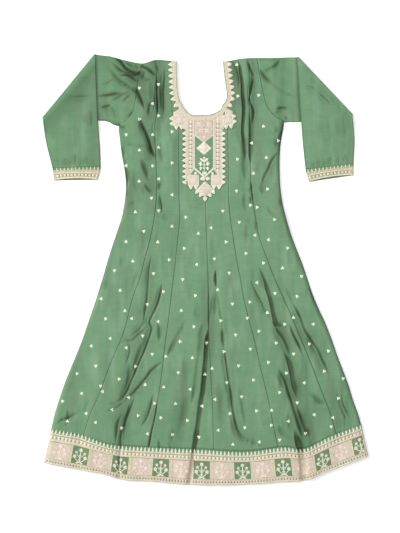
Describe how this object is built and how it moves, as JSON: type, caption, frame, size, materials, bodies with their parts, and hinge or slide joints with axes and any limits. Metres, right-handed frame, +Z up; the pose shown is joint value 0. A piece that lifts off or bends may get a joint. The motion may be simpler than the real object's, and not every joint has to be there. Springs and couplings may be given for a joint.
{
  "type": "kurta",
  "caption": "Long flared kurta laid flat with its sleeves folded over, with an embroidered neck yoke, patterned cuffs and a patterned hem border.",
  "frame": {"origin": "middle of the laid garment's underside", "axes": "+X across the garment to the right as seen, +Y from the hem towards the shoulders, +Z up from the table"},
  "size_m": [0.9452, 1.2484, 0.0152],
  "materials": {
    "green_silk": "slubbed shot silk, soft sheen",
    "border_silk": "blush and green squares under close cream embroidery",
    "yoke_silk": "blush silk under close cream embroidery",
    "piping": "rolled silk binding",
    "thread": "cream satin stitch, soft sheen"
  },
  "bodies": {
    "root": {"kali_front_left_side": "green_silk", "kali_front_left_middle": "green_silk", "kali_front_left_centre": "green_silk", "kali_front_right_centre": "green_silk", "kali_front_right_middle": "green_silk", "kali_front_right_side": "green_silk", "kali_back_left_side": "green_silk", "kali_back_left_middle": "green_silk", "kali_back_left_centre": "green_silk", "kali_back_right_centre": "green_silk", "kali_back_right_middle": "green_silk", "kali_back_right_side": "green_silk", "sleeve_left": "green_silk", "sleeve_right": "green_silk", "border_front": "border_silk", "border_back": "border_silk", "cuff_left": "border_silk", "cuff_right": "border_silk", "yoke": "yoke_silk", "neck_binding": "piping"}
  },
  "joints": []
}
